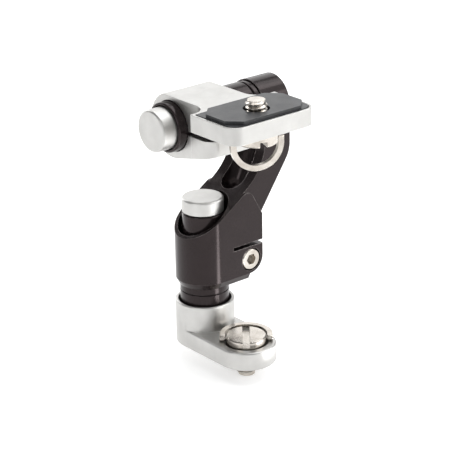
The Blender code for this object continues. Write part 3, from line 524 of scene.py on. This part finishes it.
def make_foot():
    """The cup, the tongue and their holes. The cup is a hair wider, so that the two share no surface."""
    low, high = (corner / MM for corner in node_box("base_foot"))
    radius = high.x
    reach = -low.y - radius
    rim = high.z
    wall = radius + CUP_PROUD
    cup = turned([
        (0, rim), (radius - RIM_EDGE, rim), *arc((wall - RIM_EDGE, rim - RIM_EDGE), RIM_EDGE, 90, 0, 6),
        (wall, BASE_EDGE), (wall - BASE_EDGE, 0), (0, 0),
    ])
    mouth = CUP_BORE + BORE_EDGE
    bore = turned([
        (0, rim + CUT_CLEAR), (mouth, rim + CUT_CLEAR),
        *arc((mouth, rim - BORE_EDGE), BORE_EDGE, 90, 180, 5),
        (CUP_BORE, CUP_STEP), (PLUG_BORE, CUP_STEP), (PLUG_BORE, CUP_FLOOR), (0, CUP_FLOOR),
    ])
    seat = turned([
        (0, SEAT_CUT_TOP), (SEAT_RADIUS + SEAT_LIP, SEAT_CUT_TOP), (SEAT_RADIUS + SEAT_LIP, TONGUE_HEIGHT),
        (SEAT_RADIUS, TONGUE_HEIGHT - SEAT_LIP), (SEAT_RADIUS, SEAT_FLOOR), (CAPTIVE_HOLE, SEAT_FLOOR),
        (CAPTIVE_HOLE, CLIP_SEAT[1]), CLIP_SEAT, (CLIP_SEAT[0], -CUT_CLEAR), (0, -CUT_CLEAR),
    ])
    seat.transform(Matrix.Translation((0, -reach * MM, 0)))
    hole = turned([
        (0, radius + CUT_CLEAR), (SET_SCREW_HOLE, radius + CUT_CLEAR),
        (SET_SCREW_HOLE, SET_SCREW_REACH), (0, SET_SCREW_REACH),
    ], HOLE_STEPS)
    backwards = Matrix.Rotation(math.radians(-90), 4, "X")
    hole.transform(Matrix.Translation((0, 0, SET_SCREW_HEIGHT * MM)) @ backwards)
    steps = [("UNION", cup), ("DIFFERENCE", bore), ("DIFFERENCE", seat), ("DIFFERENCE", hole)]
    stand_in("base_foot", combined(tongue_solid(radius, reach), steps), 35)


def make_lower_tube():
    """The pan tube, with the fine groove where its collar ends."""
    low, high = (corner / MM for corner in node_box("pan_tube"))
    radius = high.x
    bottom = radius - SEAM_DEPTH
    shoulder = radius - TUBE_CHAMFER
    stand_in("pan_tube", turned([
        (TUBE_BORE, high.z), (shoulder, high.z), (radius, high.z - TUBE_CHAMFER),
        (radius, TUBE_SEAM + SEAM_HALF_WIDTH), (bottom, TUBE_SEAM + SEAM_HALF_WIDTH / 2),
        (bottom, TUBE_SEAM - SEAM_HALF_WIDTH / 2), (radius, TUBE_SEAM - SEAM_HALF_WIDTH),
        (radius, low.z + TUBE_CHAMFER), (shoulder, low.z), (TUBE_BORE, low.z),
    ]), 30)


def thin_shank(axis_x, axis_y):
    """Brings a screw's threaded stretch down to the thread's root."""
    def shape(bm):
        for vert in bm.verts:
            away = Vector((vert.co.x - axis_x, vert.co.y - axis_y, 0))
            if ROOT_RADIUS * MM < away.length < SHANK_LIMIT * MM:
                share = ROOT_RADIUS * MM / away.length
                vert.co.x = axis_x + away.x * share
                vert.co.y = axis_y + away.y * share
    return shape


def thread(node, low, high):
    """The screw's helical ridge, fading out at both ends."""
    centre = centre_of(node)
    count = int((high - low) / (PITCH * MM) * TURN_STEPS)
    fade_steps = FADE_TURNS * TURN_STEPS
    foot = ROOT_RADIUS - RIDGE_SUNK
    least = ROOT_RADIUS - FADED_SUNK
    bm = bmesh.new()
    rows = []
    for step in range(count + 1):
        angle = 2 * math.pi * step / TURN_STEPS
        fade = min(1.0, step / fade_steps, (count - step) / fade_steps)
        crest = least + (CREST_RADIUS - least) * max(fade, LEAST_RISE)
        height = low + (high - low) * step / count
        width = PITCH * MM * max(fade, LEAST_WIDTH)
        section = ((foot, -ROOT_HALF_WIDTH), (crest, -CREST_HALF_WIDTH),
                   (crest, CREST_HALF_WIDTH), (foot, ROOT_HALF_WIDTH))
        row = []
        for radius, rise in section:
            x = centre.x + radius * MM * math.cos(angle)
            y = centre.y + radius * MM * math.sin(angle)
            row.append(bm.verts.new((x, y, height + rise * width)))
        rows.append(row)
    for first, second in zip(rows, rows[1:]):
        for i in range(4):
            j = (i + 1) % 4
            bm.faces.new((first[i], first[j], second[j], second[i]))
    bm.faces.new(rows[0])
    bm.faces.new(rows[-1])
    bmesh.ops.recalc_face_normals(bm, faces=bm.faces)
    mesh = bpy.data.meshes.new(node + "_thread")
    bm.to_mesh(mesh)
    bm.free()
    piece = new_piece(node + "_thread", mesh, MATERIALS[node])
    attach(piece, BODY_OF[node])


def make_pieces():
    """Detailed pieces over the outer nodes, and plain metals on the inner ones."""
    make_foot()
    make_lower_tube()
    for node in ("bracket", "platform"):
        detailed(node, BROAD_EDGE)
    for node in ("tilt_tube", "tilt_spindle", "tilt_end_cap", "tilt_end_bolt",
                 "pan_button", "tilt_button", "pan_plunger", "tilt_plunger"):
        detailed(node, FINE_EDGE)
    for node in ("base_ring", "camera_ring"):
        detailed(node, RING_EDGE, 4, 40)
    for node in ("base_set_screw", "bracket_pinch_bolt", "platform_jaw_bolt",
                 "base_screw_clip", "camera_screw_clip"):
        detailed(node, FASTENER_EDGE)
    detailed("platform_pad", PAD_EDGE, 4, merge_flats=False)
    for node in ("base_screw", "camera_screw"):
        centre = centre_of(node)
        detailed(node, SCREW_EDGE, 3, 30, thin_shank(centre.x, centre.y))
    base_tip, _ = node_box("base_screw")
    thread("base_screw", base_tip.z + BASE_TIP_BARE * MM, -START_BELOW_FOOT * MM)
    _, camera_tip = node_box("camera_screw")
    pad_low, _ = node_box("platform_pad")
    thread("camera_screw", pad_low.z + START_IN_PAD * MM, camera_tip.z - CAMERA_TIP_BARE * MM)
    for node, slot_name in SLOT_OF.items():
        shown = frame["nodes"][node]
        if not shown.hide_render:
            shown.material_slots[0].material = BY_SLOT[slot_name]


# -------------------------------------------------------------------- stage


def make_floor():
    low, _ = CAD_BOX
    mesh = bpy.data.meshes.new("floor")
    half = FLOOR_HALF
    corners = [(-half, -half, 0), (half, -half, 0), (half, half, 0), (-half, half, 0)]
    mesh.from_pydata(corners, [], [(0, 1, 2, 3)])
    floor = bpy.data.objects.new("floor", mesh)
    floor.location.z = low[2] - FLOOR_GAP
    mesh.materials.append(floor_material())
    bpy.context.scene.collection.objects.link(floor)


def area_light(name, place, size, power, aim=(0, 0, 0.04)):
    """A soft panel that the camera doesn't see, in metres and watts."""
    light = bpy.data.lights.new(name, "AREA")
    light.shape = "RECTANGLE"
    light.size, light.size_y = size
    light.energy = power
    lamp = bpy.data.objects.new(name, light)
    lamp.location = place
    lamp.rotation_euler = (Vector(aim) - Vector(place)).to_track_quat("-Z", "Y").to_euler()
    lamp.visible_camera = False
    bpy.context.scene.collection.objects.link(lamp)


def make_lights():
    """Softboxes round the object, a low card in front for the bracket's upright highlight, and even light."""
    area_light("overhead softbox", (0.22, 0.10, 0.84), (0.9, 0.8), 5.0)
    area_light("backdrop softbox", (0.62, 0.76, 0.46), (1.1, 0.7), 3.0)
    area_light("upper right softbox", (0.58, -0.30, 0.70), (0.6, 0.6), 1.3)
    area_light("left softbox", (-0.85, -0.20, 0.40), (0.30, 0.6), 1.5)
    area_light("front strip", (0.36, -0.83, 0.30), (0.12, 0.8), 1.4)
    area_light("right softbox", (0.68, -0.55, 0.34), (0.6, 0.5), 2.4)
    area_light("front fill", (-0.50, -0.62, 0.56), (0.5, 0.4), 0.5)
    area_light("floor card", (0.026, -0.082, 0.003), (0.012, 0.11), 0.028, (0.0252, -0.0797, 0.103))
    area_light("back strip", (-0.05, 0.90, 0.35), (0.25, 0.7), 2.6)
    bpy.context.scene.view_settings.view_transform = "Standard"
    world = bpy.context.scene.world or bpy.data.worlds.new("studio")
    bpy.context.scene.world = world
    world.use_nodes = True
    background = world.node_tree.nodes["Background"]
    background.inputs["Color"].default_value = (1.0, 1.0, 1.0, 1.0)
    background.inputs["Strength"].default_value = ROOM_LIGHT


def make_camera():
    toward = Vector((math.sin(AZIMUTH) * math.cos(ELEVATION), -math.cos(AZIMUTH) * math.cos(ELEVATION),
                     math.sin(ELEVATION)))
    right = Vector((math.cos(AZIMUTH), math.sin(AZIMUTH), 0))
    up = toward.cross(right)
    rolled_right = right * math.cos(ROLL) + up * math.sin(ROLL)
    rolled_up = up * math.cos(ROLL) - right * math.sin(ROLL)
    camera = bpy.data.cameras.new("camera")
    camera.lens = LENS
    camera.sensor_width = 36.0
    camera.clip_start = 0.02
    camera.clip_end = 30.0
    holder = bpy.data.objects.new("camera", camera)
    pose = Matrix((rolled_right, rolled_up, toward)).transposed().to_4x4()
    holder.matrix_world = Matrix.Translation(AIM + toward * DISTANCE) @ pose
    bpy.context.scene.collection.objects.link(holder)
    bpy.context.scene.camera = holder


make_pieces()
make_floor()
make_lights()
make_camera()
